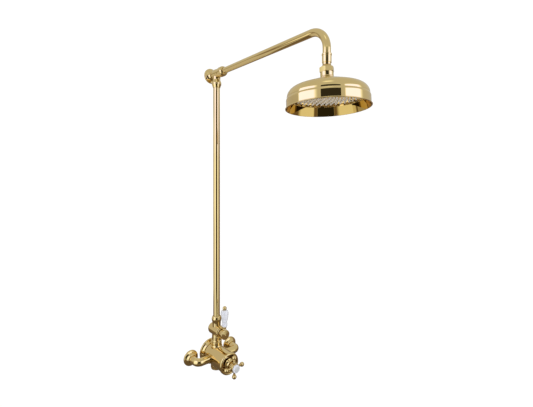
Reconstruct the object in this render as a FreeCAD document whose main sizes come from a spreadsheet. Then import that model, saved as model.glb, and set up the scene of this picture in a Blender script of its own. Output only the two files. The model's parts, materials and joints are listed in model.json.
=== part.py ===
"""Exposed thermostatic shower column with a rigid riser and a bell-shaped rose.

Frame: millimetres, +X to the right along the wall, +Y into the wall, +Z up.
The origin is on the wall plane, on the axis of the thermostatic valve.
"""
import FreeCAD, Part
import math
import os
import re

import Sketcher

doc = FreeCAD.newDocument("shower_column")
Vector = FreeCAD.Vector
Rotation = FreeCAD.Rotation

# ---------------------------------------------------------------- driving dimensions
SIZES = {
    # valve on the wall
    "inlet_pitch": 150,
    "inlet_thread": 9.32,
    "elbow_radius": 12,
    "elbow_bend": 14,
    "elbow_standoff": 46,
    "drum_radius": 32,
    "drum_front": 104,
    "plate_radius": 42,
    "rose_radius": 24.8,
    # flow valve above the drum
    "flow_height": 82.5,
    "barrel_radius": 18,
    "barrel_front": 66,
    "lever_standoff": 86,
    "grip_foot": 108.6,
    # temperature handle
    "handle_standoff": 139.5,
    "handle_reach": 29,
    "handle_ball": 7,
    # riser, tee and arm
    "riser_standoff": 37.5,
    "riser_radius": 11,
    "arm_height": 925.5,
    "arm_reach": 469,
    "arm_radius": 9.5,
    "arm_bend": 48,
    "pipe_wall": 1,
    # ball joint and spray rose
    "ball_drop": 97,
    "ball_radius": 10,
    "rose_tilt": 2.5,
    "rim_drop": 88.1,
    "rim_radius": 97.1,
    "skirt_radius": 94.6,
    "shell_wall": 1.2,
    "shoulder_bend": 21.6,
    "field_pitch": 11.2,
    "nozzle_radius": 2.5,
    # fits
    "slack": 0.2,
}

sheet = doc.addObject("Spreadsheet::Sheet", "Sizes")
for row, (alias, value) in enumerate(SIZES.items(), start=1):
    sheet.set(f"A{row}", alias)
    sheet.set(f"B{row}", str(value))
    sheet.setAlias(f"B{row}", alias)
doc.recompute()

NOZZLE_RINGS = 7
SCREWS = 4
UP = Rotation()
OUT = Rotation(Vector(1, 0, 0), 90)
RIGHT = Rotation(Vector(0, 1, 0), 90)
LEFT = Rotation(Vector(0, 1, 0), -90)
DOWN = Rotation(Vector(1, 0, 0), 180)
TILTED = Rotation(Vector(1, 0, 0), -SIZES["rose_tilt"])
BALL_CENTRE = (0, "-(riser_standoff + arm_reach)", "arm_height - ball_drop")

nodes = {}


# ---------------------------------------------------------------- helpers
def formula(text):
    """Turn bare dimension names into references to the sheet."""
    def reference(found):
        word = found.group(1)
        return f"Sizes.{word}" if word in SIZES else word

    return re.sub(r"\b([a-z]+_?[a-z]*)\b", reference, str(text))


def number(text):
    """The present value of a size or formula."""
    if isinstance(text, (int, float)):
        return float(text)
    return float(sheet.evalExpression(formula(text)))


def bind(item, target, text):
    """Set a property to a number, or tie it to the sheet."""
    if isinstance(text, str):
        item.setExpression(target, formula(text))


def place(item, at, turn):
    """Put an object at a point of the part frame, tied to the sheet."""
    item.Placement = FreeCAD.Placement(Vector(*[number(value) for value in at]), turn)
    for axis, value in zip("xyz", at):
        bind(item, f"Placement.Base.{axis}", value)
    return item


def node(item, label):
    """Name a finished piece of the assembly."""
    item.Label = label
    nodes[label] = item
    return item


def plane(body, role):
    """One of a body's own origin planes or axes."""
    return next(item for item in body.Origin.OriginFeatures if item.Role == role)


def sketch_on(body, role, name):
    """A sketch on one of a body's own origin planes."""
    sketch = body.newObject("Sketcher::SketchObject", name)
    sketch.AttachmentSupport = [(plane(body, role), "")]
    sketch.MapMode = "FlatFace"
    return sketch


def pin_point(sketch, geometry, end, across, along):
    """Fix a sketch point by its two distances from the origin."""
    for kind, value in (("DistanceX", across), ("DistanceY", along)):
        index = sketch.addConstraint(Sketcher.Constraint(kind, -1, 1, geometry, end, number(value)))
        bind(sketch, f"Constraints[{index}]", value)


def pin_radius(sketch, geometry, value):
    """Fix the radius of an arc or circle."""
    index = sketch.addConstraint(Sketcher.Constraint("Radius", geometry, number(value)))
    bind(sketch, f"Constraints[{index}]", value)


def add_arc(sketch, start, end, radius):
    """Add an arc, counter-clockwise for a positive radius; return its end numbers."""
    size = abs(number(radius))
    chord = end - start
    sagitta = math.sqrt(max(size ** 2 - (chord.Length / 2) ** 2, 0))
    side = Vector(-chord.y, chord.x, 0).normalize() * math.copysign(sagitta, number(radius))
    centre = (start + end) / 2 + side
    first, last = (start, end) if number(radius) > 0 else (end, start)
    angles = [math.atan2(point.y - centre.y, point.x - centre.x) for point in (first, last)]
    circle = Part.Circle(centre, Vector(0, 0, 1), size)
    geometry = sketch.addGeometry(Part.ArcOfCircle(circle, *angles))
    pin_radius(sketch, geometry, radius.lstrip("-") if isinstance(radius, str) else size)
    return geometry, (1, 2) if number(radius) > 0 else (2, 1)


def outline_sketch(sketch, outline, closed=True):
    """Draw straight runs and arcs through (across, along[, radius of the run to it])."""
    spots = [Vector(number(item[0]), number(item[1]), 0) for item in outline]
    runs = []
    total = len(outline) if closed else len(outline) - 1
    for index in range(total):
        target = outline[(index + 1) % len(outline)]
        start, end = spots[index], spots[(index + 1) % len(outline)]
        if len(target) == 3 and (index + 1 < len(outline)):
            geometry, ends = add_arc(sketch, start, end, target[2])
        else:
            geometry = sketch.addGeometry(Part.LineSegment(start, end))
            ends = (1, 2)
        runs.append((geometry, ends))
    for index, (geometry, ends) in enumerate(runs):
        pin_point(sketch, geometry, ends[0], outline[index][0], outline[index][1])
        following = runs[(index + 1) % len(runs)] if closed or index + 1 < len(runs) else None
        if following:
            sketch.addConstraint(Sketcher.Constraint("Coincident", geometry, ends[1],
                                                     following[0], following[1][0]))
    if not closed:
        pin_point(sketch, runs[-1][0], runs[-1][1][1], outline[-1][0], outline[-1][1])


def turned(name, outline, at=(0, 0, 0), turn=UP):
    """A body turned about its own Z axis from a (radius, height) outline."""
    body = doc.addObject("PartDesign::Body", name)
    body.AllowCompound = True
    sketch = sketch_on(body, "XZ_Plane", f"{name}_outline")
    outline_sketch(sketch, outline)
    spun = body.newObject("PartDesign::Revolution", f"{name}_turned")
    spun.Profile = sketch
    spun.ReferenceAxis = (sketch, ["V_Axis"])
    spun.Angle = 360
    body.Tip = spun
    return place(body, at, turn)


def ring_of_turned(body, name, middle, outline, count):
    """Add a piece turned about its own upright axis, repeated round the body's Z axis."""
    sketch = sketch_on(body, "XZ_Plane", f"{name}_outline")
    outline_sketch(sketch, outline)
    axis = sketch.addGeometry(Part.LineSegment(Vector(number(middle), 0, 0), Vector(number(middle), 10, 0)))
    sketch.toggleConstruction(axis)
    spun = body.newObject("PartDesign::Revolution", name)
    spun.Profile = sketch
    spun.ReferenceAxis = (sketch, ["Axis0"])
    spun.Angle = 360
    body.Tip = spun
    ring_of(body, spun, count)


def ring_of(body, feature, count):
    """Repeat a feature evenly round the body's Z axis."""
    pattern = body.newObject("PartDesign::PolarPattern", f"{feature.Name}_ring")
    pattern.Originals = [feature]
    pattern.Axis = (plane(body, "Z_Axis"), [""])
    pattern.Angle = 360
    pattern.Occurrences = count
    body.Tip = pattern
    return pattern


def holes(body, radius, distance, count, name):
    """Holes right through a body, evenly spaced on a circle."""
    sketch = sketch_on(body, "XY_Plane", f"{name}_circle")
    centre = Vector(number(distance), 0, 0)
    geometry = sketch.addGeometry(Part.Circle(centre, Vector(0, 0, 1), number(radius)))
    pin_point(sketch, geometry, 3, distance, 0)
    pin_radius(sketch, geometry, radius)
    pocket = body.newObject("PartDesign::Pocket", name)
    pocket.Profile = sketch
    pocket.Type = "ThroughAll"
    pocket.SideType = "Symmetric"
    body.Tip = pocket
    if count > 1:
        ring_of(body, pocket, count)
    return body


def rod(name, radius, length, at, turn=UP):
    """A plain cylinder that starts at a point and runs along the turned Z axis."""
    cylinder = doc.addObject("Part::Cylinder", name)
    cylinder.Radius = number(radius)
    cylinder.Height = number(length)
    bind(cylinder, "Radius", radius)
    bind(cylinder, "Height", length)
    return place(cylinder, at, turn)


def torus(name, ring_radius, wire_radius, at, turn=UP):
    """A sealing ring."""
    seal = doc.addObject("Part::Torus", name)
    seal.Radius1 = number(ring_radius)
    seal.Radius2 = number(wire_radius)
    bind(seal, "Radius1", ring_radius)
    return place(seal, at, turn)


def joined(name, pieces):
    """One solid from several."""
    union = doc.addObject("Part::MultiFuse", name)
    union.Shapes = pieces
    union.Refine = True
    return union


def cut(name, base, tools):
    """A base with every tool taken out of it."""
    removed = tools[0] if len(tools) == 1 else joined(f"{name}_tools", tools)
    result = doc.addObject("Part::Cut", name)
    result.Base = base
    result.Tool = removed
    return result


def group(label, pieces):
    """Separate identical solids kept under one name."""
    together = doc.addObject("Part::Compound", f"{label}_group")
    together.Links = pieces
    return node(together, label)


def pipe(name, radius, route, route_plane, mouth, mouth_plane, inner=None):
    """A round bar or tube swept along a route of straight runs and arcs."""
    body = doc.addObject("PartDesign::Body", name)
    spine = sketch_on(body, route_plane, f"{name}_route")
    outline_sketch(spine, route, closed=False)
    section = sketch_on(body, mouth_plane, f"{name}_section")
    across, along, ahead = mouth
    section.AttachmentOffset = FreeCAD.Placement(Vector(0, 0, number(ahead)), Rotation())
    bind(section, "AttachmentOffset.Base.z", ahead)
    for size in [radius] + ([inner] if inner else []):
        centre = Vector(number(across), number(along), 0)
        geometry = section.addGeometry(Part.Circle(centre, Vector(0, 0, 1), number(size)))
        pin_point(section, geometry, 3, across, along)
        pin_radius(section, geometry, size)
    swept = body.newObject("PartDesign::AdditivePipe", f"{name}_swept")
    swept.Profile = section
    swept.Spine = (spine, [])
    body.Tip = swept
    return body


def coil(name, radius, wire, length, turns, at, turn):
    """A helical compression spring."""
    helix = doc.addObject("Part::Helix", f"{name}_helix")
    helix.Radius = radius
    helix.Height = length
    helix.Pitch = length / turns
    place(helix, at, turn)
    section = doc.addObject("Part::Circle", f"{name}_wire")
    section.Radius = wire
    spot = helix.Placement.multVec(Vector(radius, 0, 0))
    section.Placement = FreeCAD.Placement(spot, turn.multiply(OUT))
    spring = doc.addObject("Part::Sweep", name)
    spring.Sections = [section]
    spring.Spine = (helix, [])
    spring.Solid = True
    spring.Frenet = True
    return spring


def bell_cover(label, outer, hole, depth, at):
    """A spun wall cover: a rounded edge on the wall, then a hollow sweep up to its hole."""
    wall = 1.4
    edge = 2.8
    sweep = 12
    outline = [
        (f"{outer} - {wall}", 0),
        (outer, 0),
        (outer, 2.4),
        (f"{outer} - {edge}", 2.4 + edge, edge),
        (f"{hole} + 2.2", depth - 1.6, -sweep),
        (f"{hole} + 0.8", depth, 1.8),
        (hole, depth),
        (hole, depth - 2.6),
        (f"{outer} - {edge} - 0.8", 2.4 + wall, sweep + wall),
        (f"{outer} - {wall}", 2.4, -3.2),
    ]
    return node(turned(f"{label}_body", outline, at, OUT), label)


# ---------------------------------------------------------------- wall fixing
def wall_fixing():
    bracket = turned("bracket_blank", [(0, 0), (36, 0), (36, 3), (8, 3), (8, 18), (0, 18)], turn=OUT)
    screw_holes = [rod(f"bracket_hole_{index}", 2.6, 5, (0, 1, height), OUT)
                   for index, height in enumerate((-24, 24))]
    node(cut("bracket_cut", bracket, screw_holes), "wall_bracket")
    bell_cover("wall_plate", "plate_radius", "drum_radius + slack", 13.5, (0, 0, 0))
    node(rod("grub_screw", 2.4, 12, (0, -13, -20.3), UP), "bracket_grub_screw")


# ---------------------------------------------------------------- thermostatic drum
def drum():
    bore = 22
    mouth = 28
    shell = turned("drum_turned", [
        ("8 + slack", 8), ("drum_radius - 1.5", 8), ("drum_radius", 9.5, 1.5),
        ("drum_radius", "drum_front"), (mouth, "drum_front"), (mouth, "drum_front - 10"),
        (24, "drum_front - 10"),
        (24, "drum_front - 34"), (bore, "drum_front - 34"), (bore, 30), (0, 30), (0, 19),
        ("8 + slack", 19)], turn=OUT)
    over_riser = (0, "-riser_standoff", 0)
    top_boss = turned("drum_top_boss", [
        (0, 24), (18.5, 24), (18.5, 32), (17, 38, -7), (17, 44.5), (16, 46, 1.5), (0, 46)], over_riser)
    bottom_boss = turned("drum_bottom_boss", [(0, 24), (19, 24), (19, 37.5), (18, 38.5), (0, 38.5)],
                         over_riser, DOWN)
    inlet_bosses = [rod(f"drum_inlet_boss_{index}", 14, 14, (side * 20.5, "-elbow_standoff", 0), turn)
                    for index, (side, turn) in enumerate(((-1, LEFT), (1, RIGHT)))]
    blank = joined("drum_blank", [shell, top_boss, bottom_boss] + inlet_bosses)
    tools = [
        rod("drum_riser_port", 9.5, 40, (0, "-riser_standoff", 10)),
        rod("drum_plug_port", 11.2, 30, (0, "-riser_standoff", -40)),
        rod("drum_grub_port", 2.5, 30, (0, -13, -36)),
        turned("drum_cartridge_port", [
            (0, 30), (bore, 30), (bore, "drum_front - 34"), (24, "drum_front - 34"),
            (24, "drum_front - 10"), (mouth, "drum_front - 10"), (mouth, "drum_front + 1"),
            (0, "drum_front + 1")], turn=OUT),
    ]
    for index, (side, turn) in enumerate(((-1, LEFT), (1, RIGHT))):
        tools.append(rod(f"drum_inlet_port_{index}", 9, 30, (side * 10, "-elbow_standoff", 0), turn))
        tools.append(rod(f"drum_socket_{index}", "elbow_radius + slack", 10,
                         (side * 27.8, "-elbow_standoff", 0), turn))
    node(cut("drum_cut", blank, tools), "valve_body")
    node(turned("plug_turned", [
        (0, 22.6), ("11.2 - slack", 22.6), ("11.2 - slack", 38.7), (17.2, 38.7), (17.8, 39.3, 0.6),
        (17.8, 41), (15.2, 43.4, 2.6), (0, 43.8)], over_riser, DOWN), "bottom_plug")
    node(turned("bezel_turned", [
        (25.6, 97), ("28 - slack", 97), ("28 - slack", "drum_front + 0.1"),
        ("drum_radius", "drum_front + 0.1"), (33.8, 107.4, -4), (33.8, 111), (29.6, 115.6, 4.6),
        (27.4, 114, 2.6), (27.4, 108.5), (25.6, 106.5)], turn=OUT), "front_bezel")


# ---------------------------------------------------------------- inlets
def inlets():
    bodies, filters = [], []
    for side, name, turn in ((-1, "left", LEFT), (1, "right", RIGHT)):
        half_pitch = f"{side} * inlet_pitch / 2"
        inner_end = side * 29
        route = [
            (half_pitch, 0),
            (half_pitch, "-(elbow_standoff - elbow_bend)"),
            (f"{side} * (inlet_pitch / 2 - elbow_bend)", "-elbow_standoff",
             "elbow_bend" if side < 0 else "-elbow_bend"),
            (inner_end, "-elbow_standoff"),
        ]
        mouth = (half_pitch, 0, 0)
        outside = pipe(f"elbow_{name}_outside", "elbow_radius", route, "XY_Plane", mouth, "XZ_Plane")
        waterway = pipe(f"elbow_{name}_waterway", 7.5, route, "XY_Plane", mouth, "XZ_Plane")
        tools = [
            waterway,
            rod(f"elbow_{name}_thread", "inlet_thread", 14, (half_pitch, 0, 0), OUT),
            rod(f"elbow_{name}_filter_seat", 8.6, 17, (half_pitch, 0, 0), OUT),
            rod(f"elbow_{name}_check_seat", 9.2, 23.2, (inner_end, "-elbow_standoff", 0), turn),
        ]
        node(cut(f"elbow_{name}_cut", outside, tools), f"inlet_elbow_{name}")
        bell_cover(f"inlet_rose_{name}", "rose_radius", "elbow_radius + slack", 14.5, (half_pitch, 0, 0))

        mesh = turned(f"filter_{name}", [
            (0, 15.4), (7.4, 15.4), (7.4, 14.4), (8.4, 14.4), (8.4, 16.8), (0, 16.8)],
            (half_pitch, 0, 0), OUT)
        holes(mesh, 1, 2.8, 6, f"filter_{name}_inner")
        holes(mesh, 1, 5.8, 12, f"filter_{name}_outer")
        filters.append(mesh)

        base = (0, "-elbow_standoff", 0)
        check = turned(f"check_{name}", [
            (1.5, 34), (9, 34), (9, 52), (4.6, 52), (4.6, 49.6), (7, 49.6), (7, 36), (1.5, 36)], base, turn)
        holes(check, 1.6, 4.4, 6, f"check_{name}_windows")
        bodies.append(check)
        node(turned(f"poppet_{name}", [
            (0, 34.5), (1.2, 34.5), (1.2, 47), (6, 47), (6, 48.2), (5.4, 49.4), (0, 49.4)], base, turn),
            f"check_poppet_{name}")
        node(coil(f"check_coil_{name}", 3.2, 0.4, 9.6, 5, (side * 36.6, "-elbow_standoff", 0), turn),
             f"check_spring_{name}")
    group("check_valve_bodies", bodies)
    group("inlet_filters", filters)


# ---------------------------------------------------------------- thermostatic cartridge
def cartridge():
    groove_floor = 19.4
    sleeve = turned("sleeve_turned", [
        (15, 31), (21.8, 31), (21.8, 33), (groove_floor, 33), (groove_floor, 36), (21.8, 36),
        (21.8, 58), (groove_floor, 58), (groove_floor, 61), (21.8, 61), (21.8, 69.5), (15, 69.5)],
        turn=OUT)
    ports = [rod(f"sleeve_port_{index}", 6.5, 14, (side * 12, "-elbow_standoff", 0), turn)
             for index, (side, turn) in enumerate(((-1, LEFT), (1, RIGHT)))]
    outlet = rod("sleeve_outlet", 6.5, 14, (0, -40, 12))
    node(cut("sleeve_cut", sleeve, ports + [outlet]), "cartridge_sleeve")
    group("sealing_rings", [
        torus("sleeve_seal_rear", 20.7, 1.15, (0, -34.5, 0), OUT),
        torus("sleeve_seal_front", 20.7, 1.15, (0, -59.5, 0), OUT)])
    shuttle = turned("shuttle_turned", [
        (6.2, 42), (14.8, 42), (14.8, 54), (12.8, 54), (12.8, 45), (6.2, 45)], turn=OUT)
    holes(shuttle, 2, 9.5, 6, "shuttle_ports")
    node(shuttle, "thermostat_shuttle")
    node(turned("wax_turned", [
        (0, 36), (4.5, 36), (6, 38, 2), (6, 58), (2.2, 58), (2.2, 64), (0, 64)], turn=OUT), "wax_element")
    node(coil("return_coil", 9.4, 0.8, 9.6, 3, (0, -31.2, 0), OUT), "return_spring")
    node(turned("overload_turned", [
        (0, 64.2), (9, 64.2), (9, 78), (5.3, 78), (5.3, 67.5), (0, 67.5)], turn=OUT), "overload_nut")
    node(turned("spindle_turned", [
        (0, 69), (5, 69), (5, 80), (7.4, 80), (7.4, 84), (5.4, 84), (5.4, 112), (4.2, 113.2),
        (4.2, "handle_standoff - 3"), (2.1, "handle_standoff - 3"), (2.1, 121), (0, 121)], turn=OUT),
        "temperature_spindle")
    node(turned("nut_turned", [
        (10, "drum_front - 33.8"), ("24 - slack", "drum_front - 33.8"), ("24 - slack", "drum_front - 10.2"),
        (20, "drum_front - 10.2"), (20, "drum_front - 7"), (13.6, "drum_front - 3.6"),
        (12.8, "drum_front - 2.4"), (12.8, "drum_front + 1.4"), (9.6, "drum_front + 3"),
        (5.5, "drum_front + 3"), (5.5, 85), (10, 85)], turn=OUT), "cartridge_nut")


# ---------------------------------------------------------------- temperature handle
def temperature_handle():
    def ahead(distance):
        """A distance from the arms' plane, along the spindle."""
        return f"handle_standoff + {distance}"

    hub = turned("hub_turned", [
        (5.8, 110), (16, 110), (17, 111, 1), (17, 113.6), (9.2, ahead(-14.5), -10.5), (9.2, ahead(-12)),
        (10.6, ahead(-10.8), 1.2), (9.6, ahead(-9.2), 1.2), (13.2, ahead(-5.6), -5), (13.8, ahead(-3.8)),
        (13.8, ahead(6.6)), (13, ahead(8.8), 2.2), (12.2, ahead(8.8)), (12.2, ahead(5)), (5, ahead(5)),
        (5, ahead(-1)), (2.2, ahead(-1)), (2.2, ahead(-2.8)), (4.3, ahead(-2.8)),
        (4.3, 114.4), (5.8, 114.4)],
        turn=OUT)
    quarters = [Rotation(Vector(0, 1, 0), 90 * index) for index in range(4)]
    socket_start = 9
    sockets = []
    for index, quarter in enumerate(quarters):
        start = quarter.multVec(Vector(0, 0, socket_start))
        sockets.append(rod(f"hub_socket_{index}", 2.7, 6, (start.x, "-handle_standoff", start.z), quarter))
    node(cut("hub_cut", hub, sockets), "handle_hub")
    arms = []
    for index, quarter in enumerate(quarters):
        arm = turned(f"arm_{index}", [
            (0, 9.6), (2.6, 9.6), (2.6, 14), (4.4, 14), (4.4, 14.8), (2.9, 17, -3), (2.7, 20),
            (4.2, 21, 1.2), (3.4, "handle_reach - 6.1"),
            ("handle_ball", "handle_reach", "handle_ball"),
            (0, "handle_reach + handle_ball", "handle_ball")],
            (0, "-handle_standoff", 0), quarter)
        arms.append(arm)
    group("handle_arms", arms)
    edge, crown = 9.4, 1
    crown_bend = (edge ** 2 + crown ** 2) / (2 * crown)
    node(turned("index_turned", [
        (0, ahead(5.3)), (11.9, ahead(5.3)), (11.9, ahead(11.8)), (edge, ahead(14.6), 3),
        (0, ahead(14.6 + crown), crown_bend)], turn=OUT), "handle_index")
    node(turned("screw_turned", [
        (0, 123), (1.95, 123), (1.95, ahead(-0.8)), (4, ahead(-0.8)), (4, ahead(2.4)),
        (0, ahead(2.4))], turn=OUT), "handle_screw")


# ---------------------------------------------------------------- flow valve
def flow_valve():
    barrel_axis = (0, 0, "flow_height")
    riser_axis = (0, "-riser_standoff", 0)
    barrel = turned("barrel_turned", [
        (0, 4.8), (9, 6.4, 26), ("barrel_radius", 15.5, 11), ("barrel_radius", "barrel_front - 2"),
        ("barrel_radius - 2", "barrel_front", 2), (0, "barrel_front")], barrel_axis, OUT)
    necks = turned("barrel_necks", [
        (0, 36.5), ("9.5 - slack", 36.5), ("9.5 - slack", 46.1), (16.2, 46.1), (16.8, 48, 1.4),
        (16, 50, 1.4), (15.2, 51.4), (15.2, 62), (13.6, 90), (13.6, 104.3), (12.8, 104.3), (12.8, 109.3),
        (0, 109.3)], riser_axis)
    blank = joined("flow_blank", [barrel, necks])
    tools = [
        turned("flow_bore", [
            (0, 14), (8, 14), (8, 40), (11.2, 40), (11.2, 46.4), (13, 46.4), (13, "barrel_front + 1"),
            (0, "barrel_front + 1")], barrel_axis, OUT),
        rod("flow_inlet_bore", 7, 38, (0, -33.5, 36)),
        rod("flow_outlet_bore", 4.5, 20, (0, -46.5, 90)),
        rod("flow_riser_bore", 9, 9, (0, "-riser_standoff", 99)),
        rod("flow_pipe_socket", "riser_radius + slack", 9, (0, "-riser_standoff", 101)),
    ]
    node(cut("flow_cut", blank, tools), "flow_body")
    disc_port = 5.4
    fixed = turned("fixed_disc_turned", [(0, 40.2), (11, 40.2), (11, 43.2), (0, 43.2)],
                   barrel_axis, OUT)
    moving = turned("moving_disc_turned", [(0, 43.3), (10.8, 43.3), (10.8, 46.2), (0, 46.2)],
                    barrel_axis, OUT)
    for name, disc in (("fixed_disc", fixed), ("moving_disc", moving)):
        holes(disc, 3, disc_port, 2, f"{name}_ports")
        node(disc, name)
    node(turned("flow_cartridge_turned", [
        (4.3, 52), (12.8, 52), (12.8, "barrel_front"), (4.3, "barrel_front")], barrel_axis, OUT),
        "flow_cartridge")
    node(turned("flow_spindle_turned", [
        (0, 46.4), (9.6, 46.4), (9.6, 51.6), (4.2, 51.6), (4.2, "lever_standoff - 4"),
        (0, "lever_standoff - 4")], barrel_axis, OUT), "flow_spindle")
    node(turned("bonnet_turned", [
        (4.4, "barrel_front + 0.1"), (15.6, "barrel_front + 0.1"), (15.6, 69), (14.2, 70.4, 1.4),
        (11.4, 70.8), (10.6, 76.2), (4.4, 76.2)], barrel_axis, OUT), "flow_bonnet_nut")


# ---------------------------------------------------------------- flow lever
def flow_lever():
    hub_radius = 15.4
    hub = turned("lever_hub_turned", [
        (4.3, 78.4), (12.4, 78.4), (14.8, 79.6, 3), (hub_radius, 81), (hub_radius, 89.4), (14, 90.8, 1.4),
        (0, 91.2), (0, 83), (4.3, 83)], (0, 0, "flow_height"), OUT)
    lever_axis = (0, "-lever_standoff", 0)
    foot = turned("lever_hub_foot", [(0, 92), (4.6, 92), (4.6, 98.4), (0, 98.4)], lever_axis)
    blank = joined("lever_hub_blank", [hub, foot])
    node(cut("lever_hub_cut", blank, [rod("lever_rod_hole", 2.6, 20, (0, "-lever_standoff", 90))]),
         "lever_hub")
    node(rod("lever_rod_bar", 2.4, 72, (0, "-lever_standoff", 90.4)), "lever_rod")
    node(turned("ferrule_turned", [
        (2.6, 98.6), (4.4, 98.6), (5.6, 99.6, 1.2), (4.6, 101.4), (4.6, 104), (7, "grip_foot - 1.6", -3.2),
        (7, "grip_foot - 0.2"), (2.6, "grip_foot - 0.2")], lever_axis), "lever_ferrule")
    node(turned("grip_turned", [
        (2.7, "grip_foot"), (7, "grip_foot"), (8.4, "grip_foot + 2", 2.2), (8.7, "grip_foot + 8"),
        (8, "grip_foot + 11.2", 6), (8, "grip_foot + 15", -9), (12.2, "grip_foot + 41", 150),
        (11.9, "grip_foot + 46", 9), (9.2, "grip_foot + 51.2", 9), (5, "grip_foot + 52.8"),
        (2.7, "grip_foot + 52.8")], lever_axis), "lever_grip")
    ball = 6.4
    top = 58.4
    node(turned("finial_turned", [
        (2.6, "grip_foot + 53"), (5.6, "grip_foot + 53"), (5.6, "grip_foot + 54"),
        (4.4, f"grip_foot + {top - 4.65:.2f}"), (ball, f"grip_foot + {top}", ball),
        (0, f"grip_foot + {top + ball}", ball), (0, "grip_foot + 54.2"), (2.6, "grip_foot + 54.2")],
        lever_axis), "lever_finial")


# ---------------------------------------------------------------- riser, tee and arm
def riser_and_arm():
    riser_axis = (0, "-riser_standoff", 0)
    socket = "riser_radius + slack"
    node(turned("lower_nut_turned", [
        (13, 104.5), (13.8, 104.5), (14.2, 109.5, -30), (15.6, 117), (15.4, 123, 8), (12.4, 129, 9),
        (11.6, 129.6), (socket, 129.6), (socket, 115), (13, 113)], riser_axis), "riser_lower_nut")
    node(turned("upper_nut_turned", [
        (socket, "arm_height - 46.4"), (12, "arm_height - 46.4"), (15.2, "arm_height - 37.4", -40),
        (15.6, "arm_height - 33.6", 6), (14.2, "arm_height - 25.2", 14), (13, "arm_height - 25.2"),
        (13, "arm_height - 33"), (socket, "arm_height - 35")], riser_axis), "riser_upper_nut")
    pipe_end = "arm_height - 20.5"
    node(turned("riser_turned", [
        ("riser_radius - pipe_wall", 108.5), ("riser_radius", 108.5), ("riser_radius", pipe_end),
        ("riser_radius - pipe_wall", pipe_end)], riser_axis), "riser_pipe")

    stay_axis = (0, 0, "arm_height")
    run = turned("tee_run", [
        (0, 20), (10.6, 20), (13.4, 22, 3), (14.4, 28, 12), (14.4, 47, 60), (13.4, 57.8, 60), (12.6, 58),
        (12.6, 63.4), (0, 63.4)], stay_axis, OUT)
    branch = turned("tee_branch", [
        (0, "arm_height - 30"), (12.6, "arm_height - 30"), (12.6, "arm_height - 25"),
        (13.4, "arm_height - 24.8"), (12.6, "arm_height - 18", -18), (13, "arm_height - 10"),
        (0, "arm_height")], riser_axis)
    tools = [
        rod("tee_stay_thread", 6.2, 10, (0, -19, "arm_height"), OUT),
        rod("tee_waterway", 7.5, 36, (0, -30, "arm_height"), OUT),
        rod("tee_drop", 9.5, 30, (0, "-riser_standoff", "arm_height - 31")),
        rod("tee_pipe_socket", socket, 11, (0, "-riser_standoff", "arm_height - 31")),
        rod("tee_arm_socket", "arm_radius + slack", 12, (0, -52.4, "arm_height"), OUT),
    ]
    node(cut("tee_cut", joined("tee_blank", [run, branch]), tools), "tee_body")
    stay = turned("stay_turned", [
        (0, 0), (20, 0), (20, 3), (9, 3), (9, 19.8), (6, 19.8), (6, 27.6), (0, 27.6)], stay_axis, OUT)
    screw_holes = [rod(f"stay_hole_{index}", 2.3, 5, (side * 14.5, 1, "arm_height"), OUT)
                   for index, side in enumerate((-1, 1))]
    node(cut("stay_cut", stay, screw_holes), "wall_stay")
    bell_cover("stay_rose", "rose_radius", "9 + slack", 14.5, stay_axis)

    arm_socket = "arm_radius + slack"
    node(turned("arm_nut_turned", [
        (12.8, 58.3), (14.2, 58.3), (15.8, 67.5, 14), (15.8, 76, 40), (12.2, 83.6, 10), (11.4, 84.2, 1),
        (arm_socket, 84.2), (arm_socket, 70), (12.8, 68)], stay_axis, OUT), "arm_nut")
    group("compression_olives", [
        turned("olive_lower", [
            (11.1, 110), (12, 110), (12.7, 111.3), (12, 112.6), (11.1, 112.6)], riser_axis),
        turned("olive_upper", [
            (11.1, "arm_height - 32.9"), (12, "arm_height - 32.9"), (12.5, "arm_height - 31.6"),
            (12, "arm_height - 30.3"), (11.1, "arm_height - 30.3")], riser_axis),
        turned("olive_arm", [(9.6, 64), (11.4, 64), (12.2, 65.4), (11.4, 66.8), (9.6, 66.8)],
               stay_axis, OUT)])

    reach = "riser_standoff + arm_reach"
    route = [
        (-53, "arm_height"),
        (f"-({reach} - arm_bend)", "arm_height"),
        (f"-({reach})", "arm_height - arm_bend", "arm_bend"),
        (f"-({reach})", "arm_height - ball_drop + 20.2"),
    ]
    arm = pipe("arm_swept_tube", "arm_radius", route, "YZ_Plane", (0, "arm_height", 53), "XZ_Plane",
               inner="arm_radius - pipe_wall")
    node(arm, "arm_pipe")


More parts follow.
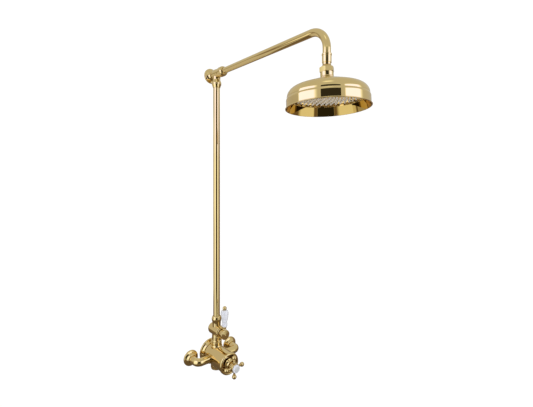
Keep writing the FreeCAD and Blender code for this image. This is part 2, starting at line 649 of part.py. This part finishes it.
# ---------------------------------------------------------------- ball joint
def ball_joint():
    seat_inner = 10.2
    seat_outer = 11.8

    def at_height(sphere, height):
        return round(math.sqrt(sphere ** 2 - height ** 2), 4)

    node(turned("collar_turned", [
        (6.5, at_height(14.4, 6.5)), (9.8, at_height(14.4, 9.8), -14.4), (9.8, 13), (10.9, 15.6, -4),
        (10.9, 31.4), (11.5, 32, 0.6), (11.5, 35.4), (10.7, 36.3, 0.9), ("arm_radius + slack", 36.3),
        ("arm_radius + slack", 19.8), (6.5, 19.8)], BALL_CENTRE), "arm_end_collar")
    bore, stem = 3.5, 5.5
    node(turned("nipple_turned", [
        (bore, -at_height(SIZES["ball_radius"], bore)), ("ball_radius", 0, "ball_radius"),
        (stem, at_height(SIZES["ball_radius"], stem), "ball_radius"), (stem, 13.4), (6.2, 13.8),
        (6.2, 26), (bore, 26)], BALL_CENTRE), "ball_nipple")
    for label, low, high in (("ball_seat_upper", 0.6, 5.2), ("ball_seat_lower", -7, -0.6)):
        node(turned(f"{label}_turned", [
            (at_height(seat_outer, low), low), (at_height(seat_outer, high), high, seat_outer),
            (at_height(seat_inner, high), high), (at_height(seat_inner, low), low, -seat_inner)],
            BALL_CENTRE, TILTED), label)

    socket = 12
    crown = 14
    opening = 9
    nut = turned("swivel_nut_turned", [
        (13.8, -6.7), (16.2, -6.7), (17.6, -5), (17.6, 3.6), (12.2, at_height(crown, 12.2)),
        (opening, at_height(crown, opening), crown), (opening, at_height(socket, opening)),
        (at_height(socket, 1.9), 1.9, -socket), (13.8, 1.9)], BALL_CENTRE, TILTED)
    flats = doc.addObject("Part::Prism", "swivel_nut_flats")
    flats.Polygon = 6
    flats.Circumradius = 17.4
    flats.Height = 30
    corner_on_arm = Rotation(Vector(0, 0, 1), 30)
    below = 12
    foot_ahead = f"{BALL_CENTRE[1]} - {below} * sin(rose_tilt)"
    foot_height = f"{BALL_CENTRE[2]} - {below} * cos(rose_tilt)"
    place(flats, (0, foot_ahead, foot_height), TILTED.multiply(corner_on_arm))
    hexagon = doc.addObject("Part::Common", "swivel_nut_hexagon")
    hexagon.Base = nut
    hexagon.Tool = flats
    node(hexagon, "swivel_nut")
    node(turned("neck_turned", [
        (5, -33), (9, -33), (9, -19), (16.6, -19), (16.6, -17.8), (15.2, -16, -2), (15.2, -6.9),
        (13.6, -6.9), (13.6, 1.6), (at_height(socket, 1.6), 1.6), (at_height(socket, 0), 0, -socket),
        (5, -at_height(socket, 5), -socket)],
        BALL_CENTRE, TILTED), "rose_neck")


# ---------------------------------------------------------------- spray rose
def above_rim(height):
    """A height over the rim, as a height in the ball joint's frame."""
    return f"{height} - rim_drop"


def spray_rose():
    cone = math.radians(19.58)
    centre = 71.2
    start = 26
    bend = SIZES["shoulder_bend"]
    inner_bend = bend - SIZES["shell_wall"]
    outer_tangent = (round(centre + bend * math.sin(cone), 3),
                     above_rim(round(start + bend * math.cos(cone), 3)))
    inner_tangent = (round(centre + inner_bend * math.sin(cone), 3),
                     above_rim(round(start + inner_bend * math.cos(cone), 3)))
    seam = 22.2
    step_foot = 19
    step_top = 24
    step_depth = 1.8
    step_bend = round((step_depth ** 2 + (step_top - step_foot) ** 2) / (2 * step_depth), 4)
    fall = round(step_bend - math.sqrt(step_bend ** 2 - (seam - step_foot) ** 2), 4)
    inside = "skirt_radius - 3"
    node(turned("skirt_turned", [
        (f"{inside} + 0.8", above_rim(0)), ("rim_radius - 0.6", above_rim(0)),
        ("rim_radius", above_rim(1), 0.7), ("skirt_radius", above_rim(2.8), -1.9),
        ("skirt_radius", above_rim(step_foot)), (f"skirt_radius - {fall}", above_rim(seam), step_bend),
        (inside, above_rim(seam)), (inside, above_rim(0.8))],
        BALL_CENTRE, TILTED), "rose_skirt")
    node(turned("dome_turned", [
        (f"skirt_radius - {fall}", above_rim(seam)),
        (f"skirt_radius - {step_depth}", above_rim(step_top), step_bend),
        (f"{centre} + shoulder_bend", above_rim(start)), outer_tangent + ("shoulder_bend",),
        (20.4, above_rim(67)), (16.8, above_rim(69), -6), (9.3, above_rim(69)),
        (9.3, "69 - shell_wall - rim_drop"), (16.4, "69 - shell_wall - rim_drop"),
        (20, "67 - shell_wall - rim_drop"), inner_tangent,
        (f"{centre} + shoulder_bend - shell_wall", above_rim(start), -inner_bend),
        (f"{centre} + shoulder_bend - shell_wall", above_rim(seam))],
        BALL_CENTRE, TILTED), "rose_dome")
    plate_height = 29

    def over_plate(height):
        """A height over the underside of the face plate, as a height in the ball joint's frame."""
        return above_rim(round(plate_height + height, 3))

    chamber = turned("chamber_turned", [
        (82, over_plate(1.2)), (89, over_plate(1.2)), (89, over_plate(5)), (84, over_plate(6.4)),
        (84, over_plate(9)), (82.6, over_plate(10.4), 1.4), (14.6, over_plate(10.4)),
        (12.4, over_plate(12.6), -2.2),
        (12.4, above_rim(67.6)), (9.2, above_rim(67.6)), (9.2, over_plate(8.8)), (82, over_plate(8.8))],
        BALL_CENTRE, TILTED)
    plate = turned("plate_turned", [
        (0, over_plate(0)), (89.9, over_plate(0)), (90.9, over_plate(1), 1), (0, over_plate(1))],
        BALL_CENTRE, TILTED)
    screw_circle = 85.6
    holes(plate, 1.7, screw_circle, SCREWS, "plate_screw_holes")
    holes(chamber, 1.55, screw_circle, SCREWS, "chamber_screw_holes")
    node(chamber, "spray_chamber")
    for ring in range(1, NOZZLE_RINGS + 1):
        holes(plate, "nozzle_radius + 0.3", f"{ring} * field_pitch", 6 * ring, f"plate_holes_{ring}")
    node(plate, "face_plate")
    mat = turned("mat_turned", [
        (0, over_plate(1.2)), (81.6, over_plate(1.2)), (81.6, over_plate(2.8)), (0, over_plate(2.8))],
        BALL_CENTRE, TILTED)
    for ring in range(1, NOZZLE_RINGS + 1):
        middle = f"{ring} * field_pitch"
        ring_of_turned(mat, f"nozzle_{ring}", middle, [
            (middle, over_plate(-2)), (f"{middle} + 0.7", over_plate(-2)),
            (f"{middle} + 0.7", over_plate(-4.6)), (f"{middle} + 1.4", over_plate(-4.6)),
            (f"{middle} + 1.8", over_plate(-4.1), 0.5), (f"{middle} + nozzle_radius", over_plate(-1)),
            (f"{middle} + nozzle_radius", over_plate(1.6)), (middle, over_plate(1.6))], 6 * ring)
    node(mat, "nozzle_mat")
    screws = doc.addObject("PartDesign::Body", "face_screw_body")
    screws.AllowCompound = True
    ring_of_turned(screws, "face_screw", screw_circle, [
        (screw_circle, over_plate(-1.8)), (screw_circle + 2, over_plate(-1.8)),
        (screw_circle + 2.8, over_plate(-0.8), 1.2), (screw_circle + 2.8, over_plate(-0.1)),
        (screw_circle + 1.5, over_plate(-0.1)), (screw_circle + 1.5, over_plate(4.2)),
        (screw_circle, over_plate(4.2))], SCREWS)
    node(place(screws, BALL_CENTRE, TILTED), "face_screws")


# ---------------------------------------------------------------- build, test and write
def write_nodes():
    doc.recompute()
    for item in doc.Objects:
        if "Invalid" in item.State or "Error" in item.State:
            raise RuntimeError(f"{item.Label} failed: {item.State}")
    os.makedirs("parts", exist_ok=True)
    for label, item in nodes.items():
        shape = item.Shape
        if shape.isNull() or not shape.isValid() or not shape.Solids:
            raise RuntimeError(f"{label} has no valid solid")
        shape.exportStep(f"parts/{label}.step")
        print(f"{label}: {len(shape.Solids)} solid(s), {shape.Volume / 1000:.2f} cm3")


for build in (wall_fixing, drum, inlets, cartridge, temperature_handle, flow_valve, flow_lever,
              riser_and_arm, ball_joint, spray_rose):
    build()
write_nodes()
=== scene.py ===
import json
import math

import bpy
from mathutils import Matrix, Vector


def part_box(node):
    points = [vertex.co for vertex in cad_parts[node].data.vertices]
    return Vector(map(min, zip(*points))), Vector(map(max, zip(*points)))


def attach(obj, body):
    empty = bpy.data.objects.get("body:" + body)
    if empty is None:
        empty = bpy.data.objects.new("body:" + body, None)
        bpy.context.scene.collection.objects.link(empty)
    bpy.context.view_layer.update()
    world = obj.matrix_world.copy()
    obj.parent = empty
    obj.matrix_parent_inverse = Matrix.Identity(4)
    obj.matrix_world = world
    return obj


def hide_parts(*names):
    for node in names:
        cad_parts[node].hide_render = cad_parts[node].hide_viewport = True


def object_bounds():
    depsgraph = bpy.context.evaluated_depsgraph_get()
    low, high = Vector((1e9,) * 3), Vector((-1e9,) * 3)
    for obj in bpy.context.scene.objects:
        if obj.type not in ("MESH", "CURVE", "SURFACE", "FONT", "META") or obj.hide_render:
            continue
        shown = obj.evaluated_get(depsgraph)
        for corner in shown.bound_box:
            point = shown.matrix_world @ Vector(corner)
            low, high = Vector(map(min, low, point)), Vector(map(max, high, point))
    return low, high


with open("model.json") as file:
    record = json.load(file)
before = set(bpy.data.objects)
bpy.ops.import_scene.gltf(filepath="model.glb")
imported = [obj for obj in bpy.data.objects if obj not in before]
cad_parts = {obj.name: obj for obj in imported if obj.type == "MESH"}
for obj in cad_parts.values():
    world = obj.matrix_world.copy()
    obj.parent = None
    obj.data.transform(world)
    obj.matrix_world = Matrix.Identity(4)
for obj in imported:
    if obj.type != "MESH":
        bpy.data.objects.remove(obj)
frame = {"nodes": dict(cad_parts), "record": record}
cad_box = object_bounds()
nodes = frame["nodes"]
scene = bpy.context.scene
scene.view_settings.view_transform = "Standard"


# ---------------------------------------------------------------- camera
# Focal length and horizon height, both as shares of the picture's width.
FOCAL_SHARE = 0.65492589
HORIZON_SHARE = 0.04832758
CAMERA_AT = Vector((-0.613247, -1.025392, 0.583230))
CAMERA_YAW = 0.69759

camera_data = bpy.data.cameras.new("camera")
camera_data.sensor_width = 36
camera_data.lens = camera_data.sensor_width * FOCAL_SHARE
camera_data.shift_y = -HORIZON_SHARE
camera_data.clip_start = 0.05
camera_data.clip_end = 60
camera = bpy.data.objects.new("camera", camera_data)
camera.location = CAMERA_AT
camera.rotation_euler = (math.radians(90), 0, -CAMERA_YAW)
scene.collection.objects.link(camera)
scene.camera = camera


# ---------------------------------------------------------------- node helpers
class Graph:
    """A short way to write a node tree."""

    def __init__(self, tree):
        self.tree = tree
        tree.nodes.clear()

    def add(self, kind, inputs=None, **settings):
        item = self.tree.nodes.new(kind)
        for key, value in settings.items():
            setattr(item, key, value)
        for key, value in (inputs or {}).items():
            self.feed(item.inputs[key], value)
        return item

    def feed(self, socket, value):
        if isinstance(value, bpy.types.NodeSocket):
            self.tree.links.new(value, socket)
        else:
            socket.default_value = value

    def noise(self, where, scale, detail=3, roughness=0.5):
        return self.add("ShaderNodeTexNoise", {"Vector": where, "Scale": scale, "Detail": detail,
                                               "Roughness": roughness}).outputs["Fac"]

    def ramp(self, value, low, high, to_low=0.0, to_high=1.0, smooth=False):
        made = self.add("ShaderNodeMapRange", {"Value": value, "From Min": low, "From Max": high,
                                               "To Min": to_low, "To Max": to_high})
        if smooth:
            made.interpolation_type = "SMOOTHSTEP"
        return made.outputs["Result"]

    def mix(self, factor, first, second):
        made = self.add("ShaderNodeMix", data_type="RGBA")
        for socket, value in zip((made.inputs[0], made.inputs[6], made.inputs[7]), (factor, first, second)):
            self.feed(socket, value)
        return made.outputs[2]

    def maths(self, operation, first, second=0.0):
        made = self.add("ShaderNodeMath", {0: first, 1: second}, operation=operation)
        return made.outputs[0]

    def stretched(self, where, x, y, z):
        return self.add("ShaderNodeMapping", {"Vector": where, "Scale": (x, y, z)}).outputs["Vector"]

    def crevice(self, reach):
        return self.add("ShaderNodeAmbientOcclusion", {"Distance": reach}, samples=8).outputs["AO"]

    def bump(self, height, strength, distance):
        return self.add("ShaderNodeBump", {"Height": height, "Strength": strength,
                                           "Distance": distance}).outputs["Normal"]


def shade(r, g, b):
    return (r, g, b, 1.0)


def material(name):
    """A new material with its graph, its object coordinates and its principled surface."""
    made = bpy.data.materials.new(name)
    made.use_nodes = True
    graph = Graph(made.node_tree)
    where = graph.add("ShaderNodeTexCoord").outputs["Object"]
    surface = graph.add("ShaderNodeBsdfPrincipled")
    graph.add("ShaderNodeOutputMaterial", {"Surface": surface.outputs[0]})
    return made, graph, where, surface


# ---------------------------------------------------------------- materials
# How fully crevices take the brown painted shade.
CREVICE_SHADE_COVER = 0.88
CREVICE_HAZE = 0.10
# How much farther than the crevice shade the painted hollow shade reaches.
HOLLOW_SHADE_REACH = 3.3
GRAIN_DEPTH = 0.00002


def brass(name, clean, crevice_shade, low_rough, high_rough, grain=0.004, reach=0.009, shaded=0.6):
    """Polished metal with buffing haze, a faint lathe grain and dark brown painted shade in its crevices and
    hollows.
    """
    made, graph, where, surface = material(name)
    clouds = graph.noise(where, 34, 4)
    haze = graph.noise(where, 90, 4, 0.6)
    fine = graph.noise(graph.stretched(where, 1, 1, 0.12), 1300, 2)
    # Painted shade: crevices found by ambient occlusion take a brown shade colour; the same mask also
    # roughens them.
    crevice_shade_mask = graph.ramp(graph.crevice(reach), 0.25, 0.9, 1.0, 0.0, True)
    worn = shade(*[value * 0.95 for value in clean])
    tone = graph.mix(graph.ramp(clouds, 0.3, 0.7, 0.0, 0.6), shade(*clean), worn)
    # Painted shade: wider hollows are darkened halfway towards the brown shade colour.
    hollow_shade = graph.ramp(graph.crevice(reach * HOLLOW_SHADE_REACH), 0.15, 0.7, shaded, 0.0, True)
    tone = graph.mix(hollow_shade, tone, shade(*[0.5 * (a + b) for a, b in zip(clean, crevice_shade)]))
    tone = graph.mix(graph.maths("MULTIPLY", crevice_shade_mask, CREVICE_SHADE_COVER), tone, shade(*crevice_shade))
    graph.feed(surface.inputs["Base Color"], tone)
    surface.inputs["Metallic"].default_value = 1.0
    rough = graph.ramp(haze, 0.3, 0.75, low_rough, high_rough)
    rough = graph.maths("ADD", rough, graph.maths("MULTIPLY", crevice_shade_mask, CREVICE_HAZE))
    graph.feed(surface.inputs["Roughness"], rough)
    surface.inputs["Coat Weight"].default_value = 0.25
    surface.inputs["Coat Roughness"].default_value = 0.05
    graph.feed(surface.inputs["Normal"], graph.bump(fine, grain, GRAIN_DEPTH))
    return made


# The index disc's printed field and ring, as distances from the temperature handle's axis.
FIELD_EDGE = (0.0072, 0.0080)
RING_START = (0.0078, 0.0081)
RING_END = (0.0084, 0.0087)


def porcelain(name):
    """White glazed china, with a greyer printed field and a fine ring on the index disc."""
    made, graph, where, surface = material(name)
    clouds = graph.noise(where, 60, 4)
    specks = graph.noise(where, 900, 2)
    tone = graph.mix(graph.ramp(clouds, 0.35, 0.7), shade(0.72, 0.735, 0.80), shade(0.66, 0.68, 0.75))
    tone = graph.mix(graph.ramp(specks, 0.66, 0.78, 0.0, 0.25), tone, shade(0.55, 0.55, 0.58))
    parts = graph.add("ShaderNodeSeparateXYZ", {"Vector": where})
    flat = graph.add("ShaderNodeCombineXYZ", {"X": parts.outputs["X"], "Z": parts.outputs["Z"]})
    reach = graph.add("ShaderNodeVectorMath", {0: flat.outputs[0]}, operation="LENGTH").outputs["Value"]
    field = graph.ramp(reach, *FIELD_EDGE, 0.75, 0.0, True)
    line = graph.maths("MULTIPLY", graph.ramp(reach, *RING_START), graph.ramp(reach, *RING_END, 1.0, 0.0))
    tone = graph.mix(field, tone, shade(0.50, 0.515, 0.50))
    tone = graph.mix(graph.maths("MULTIPLY", line, 0.8), tone, shade(0.20, 0.21, 0.23))
    graph.feed(surface.inputs["Base Color"], tone)
    graph.feed(surface.inputs["Roughness"], graph.ramp(clouds, 0.2, 0.8, 0.16, 0.26))
    surface.inputs["Subsurface Weight"].default_value = 0.12
    surface.inputs["Subsurface Radius"].default_value = (0.9, 0.9, 1.0)
    surface.inputs["Subsurface Scale"].default_value = 0.002
    surface.inputs["Coat Weight"].default_value = 0.8
    surface.inputs["Coat Roughness"].default_value = 0.04
    graph.feed(surface.inputs["Normal"], graph.bump(clouds, 0.08, 0.0003))
    return made


def steel(name):
    """Plain stainless steel with a brushed grain."""
    made, graph, where, surface = material(name)
    grain = graph.noise(graph.stretched(where, 1, 1, 0.05), 1800, 3)
    tone = graph.mix(grain, shade(0.62, 0.61, 0.60), shade(0.74, 0.74, 0.74))
    graph.feed(surface.inputs["Base Color"], tone)
    surface.inputs["Metallic"].default_value = 1.0
    graph.feed(surface.inputs["Roughness"], graph.ramp(grain, 0.3, 0.7, 0.22, 0.38))
    graph.feed(surface.inputs["Normal"], graph.bump(grain, 0.1, 0.00005))
    return made


def moulded(name, light, dark, low_rough, high_rough, texture=700, depth=0.00005):
    """A moulded or pressed matte piece: fine surface texture and slight colour drift."""
    made, graph, where, surface = material(name)
    clouds = graph.noise(where, 45, 3)
    skin = graph.noise(where, texture, 3)
    tone = graph.mix(graph.ramp(clouds, 0.3, 0.7), shade(*light), shade(*dark))
    tone = graph.mix(graph.ramp(skin, 0.4, 0.8, 0.0, 0.2), tone, shade(*[c * 0.8 for c in dark]))
    graph.feed(surface.inputs["Base Color"], tone)
    graph.feed(surface.inputs["Roughness"], graph.ramp(skin, 0.3, 0.7, low_rough, high_rough))
    graph.feed(surface.inputs["Normal"], graph.bump(skin, 0.25, depth))
    return made


GOLD = (0.88, 0.672, 0.292)
SLOT_MATERIALS = {
    # Each brass's second colour is the brown painted shade laid into its crevices and hollows.
    "gold_brass": brass("gold_brass", GOLD, (0.22, 0.12, 0.035), 0.035, 0.075),
    "plain_brass": brass("plain_brass", (0.74, 0.55, 0.27), (0.36, 0.22, 0.09), 0.20, 0.34, 0.1),
    "glazed_porcelain": porcelain("glazed_porcelain"),
    "stainless_steel": steel("stainless_steel"),
    "white_plastic": moulded("white_plastic", (0.82, 0.82, 0.80), (0.75, 0.75, 0.73), 0.38, 0.55),
    "valve_ceramic": moulded("valve_ceramic", (0.80, 0.77, 0.71), (0.73, 0.70, 0.64), 0.3, 0.5, 1200),
    "seal_rubber": moulded("seal_rubber", (0.025, 0.025, 0.027), (0.018, 0.018, 0.018), 0.5, 0.7),
    "nozzle_silicone": moulded("nozzle_silicone", (0.80, 0.74, 0.64), (0.72, 0.66, 0.56), 0.42, 0.6, 1500),
}
# The bell and its face plate are smoother than the cast and turned fittings; their painted crevice shade
# reaches less far and their hollows get none.
SPUN_BRASS = brass("spun_gold_brass", GOLD, (0.30, 0.17, 0.05), 0.012, 0.03, 0.0005, 0.002, 0.0)
SPUN_NODES = {"rose_skirt", "rose_dome", "face_plate"}
for part in frame["record"]["subparts"]:
    finished = SPUN_BRASS if part["node"] in SPUN_NODES else SLOT_MATERIALS[part["material_slot"]]
    piece = nodes[part["node"]]
    for holder in piece.material_slots:
        holder.material = finished


# ---------------------------------------------------------------- skirt of the rose
# Painted shade and painted reflection: the skirt's inner wall gets a darker, deeper gold brass that stands in
# for its shade and for light bounced between its gold walls.
INNER_SHADED_GOLD = (0.57, 0.385, 0.105)
INNER_CREVICE_SHADE = (0.20, 0.13, 0.04)
INNER_SHADED_BRASS = brass("inner_painted_shade_brass", INNER_SHADED_GOLD, INNER_CREVICE_SHADE, 0.02, 0.04, 0.0005, 0.002, 0.0)
INWARD_LEDGE = 0.002
OPENING_SLOPE = 0.2216
WALL_BAND = 0.0012
SHARP_EDGE = math.radians(30)


def opened_skirt(node, joint):
    """A copy of the skirt whose inner wall opens out evenly towards a thin lip at the rim and wears a darker,
    deeper gold of painted shade and painted inter-reflection.
    """
    spin = next(item for item in frame["record"]["behaviour"]["joints"] if item["name"] == joint)
    centre, axis = Vector(spin["pos_m"]), Vector(spin["axis"]).normalized()
    mesh = bpy.data.meshes.new_from_object(nodes[node])
    heights = [(point.co - centre).dot(axis) for point in mesh.vertices]
    outward = [point.co - centre - axis * height for point, height in zip(mesh.vertices, heights)]
    seam = max(heights)
    wall = min(away.length for away in outward)
    inner = set()
    for point, away, height in zip(mesh.vertices, outward, heights):
        if away.length < wall + WALL_BAND:
            inner.add(point.index)
            radius = wall - INWARD_LEDGE + OPENING_SLOPE * (seam - height)
            point.co = centre + axis * height + away.normalized() * radius
    mesh.materials.clear()
    mesh.materials.append(SPUN_BRASS)
    mesh.materials.append(INNER_SHADED_BRASS)
    for face in mesh.polygons:
        # Faces wholly on the inner wall take the darker painted-shade brass.
        face.material_index = int(all(index in inner for index in face.vertices))
        face.use_smooth = True
    mesh.set_sharp_from_angle(angle=SHARP_EDGE)
    made = bpy.data.objects.new("rose_skirt_opened", mesh)
    scene.collection.objects.link(made)
    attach(made, "rose")
    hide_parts(node)


opened_skirt("rose_skirt", "rose_spin")


# ---------------------------------------------------------------- studio
LOW_WALL = (0.24, 0.18, 0.13)
HIGH_WALL = (0.59, 0.59, 0.58)
NEAR_FLOOR = (0.13, 0.10, 0.072)
FAR_FLOOR = (0.24, 0.18, 0.13)
PALE = 1.05


def stage_material(name):
    """An empty material for a stage card, with its graph."""
    made = bpy.data.materials.new(name)
    made.use_nodes = True
    return made, Graph(made.node_tree)


def card(name, corner, along, up, surface):
    """A flat stage rectangle; its own coordinates run from 0 to 1 along both edges."""
    mesh = bpy.data.meshes.new(name)
    mesh.from_pydata([(0, 0, 0), (1, 0, 0), (1, 1, 0), (0, 1, 0)], [], [(0, 1, 2, 3)])
    mesh.materials.append(surface)
    made = bpy.data.objects.new(name, mesh)
    facing = along.cross(up).normalized()
    made.matrix_world = Matrix((along, up, facing)).transposed().to_4x4()
    made.location = corner
    scene.collection.objects.link(made)
    return made


def mirror_only(item):
    """Let an object be seen in reflections and by nothing else."""
    item.visible_camera = False
    item.visible_diffuse = False
    item.visible_shadow = False
    item.visible_transmission = False
    item.visible_volume_scatter = False


world = bpy.data.worlds.new("studio")
scene.world = world
world.use_nodes = True
sky = Graph(world.node_tree)
heading = sky.add("ShaderNodeTexCoord").outputs["Generated"]
height = sky.add("ShaderNodeSeparateXYZ", {"Vector": heading}).outputs["Z"]
walls = sky.mix(sky.ramp(height, -0.05, 0.35, smooth=True), shade(*LOW_WALL), shade(*HIGH_WALL))
room = sky.add("ShaderNodeBackground", {"Color": walls, "Strength": 1.0})
backdrop = sky.add("ShaderNodeBackground", {"Color": shade(1, 1, 1), "Strength": PALE})
seen = sky.add("ShaderNodeLightPath").outputs["Is Camera Ray"]
blend = sky.add("ShaderNodeMixShader", {0: seen, 1: room.outputs[0], 2: backdrop.outputs[0]})
sky.add("ShaderNodeOutputWorld", {"Surface": blend.outputs[0]})

dome_low, dome_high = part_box("rose_dome")
dome_centre = (dome_low + dome_high) / 2
to_camera = (CAMERA_AT - dome_centre).to_2d().normalized().to_3d()
sideways = Vector((-to_camera.y, to_camera.x, 0))


def spot(degrees, distance):
    """A point round the rose at an angle from the camera's direction, image right positive."""
    turn = math.radians(degrees)
    flat = dome_centre + (to_camera * math.cos(turn) + sideways * math.sin(turn)) * distance
    return Vector((flat.x, flat.y, 0))


# The floor is white to the camera; reflections see it dark and warm under the part, paler far off.
FLOOR_DROP = 0.45
FLOOR_SIZE = 16
floor_material, floor_graph = stage_material("pale_floor")
place = floor_graph.add("ShaderNodeTexCoord").outputs["Object"]
centred = floor_graph.add("ShaderNodeVectorMath", {0: place, 1: (0.5, 0.5, 0)}, operation="SUBTRACT")
away = floor_graph.add("ShaderNodeVectorMath", {0: centred.outputs[0]}, operation="LENGTH").outputs["Value"]
tint = floor_graph.mix(floor_graph.ramp(away, 0.02, 0.12, smooth=True), shade(*NEAR_FLOOR), shade(*FAR_FLOOR))
reflected = floor_graph.add("ShaderNodeEmission", {"Color": tint, "Strength": 1.0})
plain = floor_graph.add("ShaderNodeEmission", {"Color": shade(1, 1, 1), "Strength": PALE})
path = floor_graph.add("ShaderNodeLightPath")
direct = floor_graph.maths("MAXIMUM", path.outputs["Is Camera Ray"], path.outputs["Is Diffuse Ray"])
floor_blend = floor_graph.add("ShaderNodeMixShader", {0: direct, 1: reflected.outputs[0],
                                                      2: plain.outputs[0]})
floor_graph.add("ShaderNodeOutputMaterial", {"Surface": floor_blend.outputs[0]})
floor_material.cycles.emission_sampling = "NONE"
card("floor", Vector((-FLOOR_SIZE / 2, -FLOOR_SIZE / 2, cad_box[0].z - FLOOR_DROP)),
     Vector((FLOOR_SIZE, 0, 0)), Vector((0, FLOOR_SIZE, 0)), floor_material)


def soft_panel(name, corner, along, up, colour, strength, fades, low_colour=None, low_share=1.0):
    """A glowing card that fades by the given shares of its size: left, right, bottom, top."""
    surface, graph = stage_material(name)
    where = graph.add("ShaderNodeTexCoord").outputs["Object"]
    parts = graph.add("ShaderNodeSeparateXYZ", {"Vector": where})
    across, upward = parts.outputs["X"], parts.outputs["Y"]
    left, right, bottom, top = [max(share, 0.001) for share in fades]
    cover = graph.maths("MULTIPLY", graph.ramp(across, 0, left, smooth=True),
                        graph.ramp(across, 1 - right, 1, 1.0, 0.0, True))
    cover = graph.maths("MULTIPLY", cover, graph.ramp(upward, 0, bottom, smooth=True))
    cover = graph.maths("MULTIPLY", cover, graph.ramp(upward, 1 - top, 1, 1.0, 0.0, True))
    lower = shade(*(low_colour or colour))
    glow = graph.mix(graph.ramp(upward, 0.7, 0.82, smooth=True), lower, shade(*colour))
    glow = graph.mix(graph.maths("POWER", cover, 3.0), shade(0.94, 1.0, 0.92), glow)
    power = graph.ramp(upward, 0.1, 0.5, strength * low_share, strength, True)
    lamp_light = graph.add("ShaderNodeEmission", {"Color": glow, "Strength": power})
    clear = graph.add("ShaderNodeBsdfTransparent")
    both = graph.add("ShaderNodeMixShader", {0: cover, 1: clear.outputs[0], 2: lamp_light.outputs[0]})
    graph.add("ShaderNodeOutputMaterial", {"Surface": both.outputs[0]})
    surface.cycles.emission_sampling = "NONE"
    mirror_only(card(name, corner, along, up, surface))


def upright(name, from_degrees, to_degrees, low, high, colour, strength, fades, distance=1.15, **lower):
    """A soft panel that stands between two angles and two heights round the rose."""
    start, end = spot(from_degrees, distance), spot(to_degrees, distance)
    soft_panel(name, start + Vector((0, 0, low)), end - start, Vector((0, 0, high - low)),
               colour, strength, fades, **lower)


CREAM = (0.98, 1.0, 1.72)
IVORY = (0.90, 0.96, 1.1)
WARM = (1.0, 0.99, 0.95)
SOFTBOX_LOW = -0.9
SOFTBOX_HIGH = 1.31
SOFTBOX_POWER = 1.38
for side, first, last, fades in (("left", -83, -24, (0.10, 0.24, 0.15, 0.04)),
                                 ("right", 42, 102, (0.08, 0.28, 0.15, 0.04))):
    upright("softbox_" + side, first, last, SOFTBOX_LOW, SOFTBOX_HIGH, CREAM, SOFTBOX_POWER, fades,
            low_colour=IVORY, low_share=0.5)
upright("dark_gap", -19, 34, -0.9, 1.44, (0.034, 0.030, 0.022), 1.0, (0.03, 0.03, 0.3, 0.10))
upright("glow_left", -92, -74, 0.25, 0.92, WARM, 1.0, (0.3, 0.3, 0.3, 0.2))
upright("warm_wall", -150, -94, -0.1, 1.0, (0.61, 0.565, 0.52), 1.0, (0.2, 0.1, 0.15, 0.2), 1.3,
        low_colour=(0.57, 0.55, 0.54))
upright("glow_right", 62, 108, -0.15, 0.35, WARM, 0.95, (0.25, 0.25, 0.3, 0.3), 1.0)
overhead = spot(0, 0.95)
soft_panel("softbox_top", overhead + Vector((0, 0, 1.75)) - sideways * 0.35, sideways * 0.7,
           Vector((-to_camera.x, -to_camera.y, 0.7)) * 0.45, (0.98, 1.0, 1.0), 1.15, (0.4, 0.4, 0.4, 0.4))


LAMP_AIM = Vector((0, -0.2, 0.4))


def lamp(name, at, side, power):
    """A square area lamp that lights the part but isn't seen in its reflections."""
    data = bpy.data.lights.new(name, "AREA")
    data.shape = "RECTANGLE"
    data.size = side
    data.size_y = side
    data.energy = power
    made = bpy.data.objects.new(name, data)
    made.location = at
    made.rotation_euler = (LAMP_AIM - Vector(at)).to_track_quat("-Z", "Y").to_euler()
    made.visible_glossy = False
    scene.collection.objects.link(made)


lamp("key", (-1.5, -1.6, 1.6), 1.4, 24)
lamp("fill", (1.6, -1.3, 0.9), 1.4, 10)
lamp("top", (0.0, -0.6, 2.4), 1.6, 12)
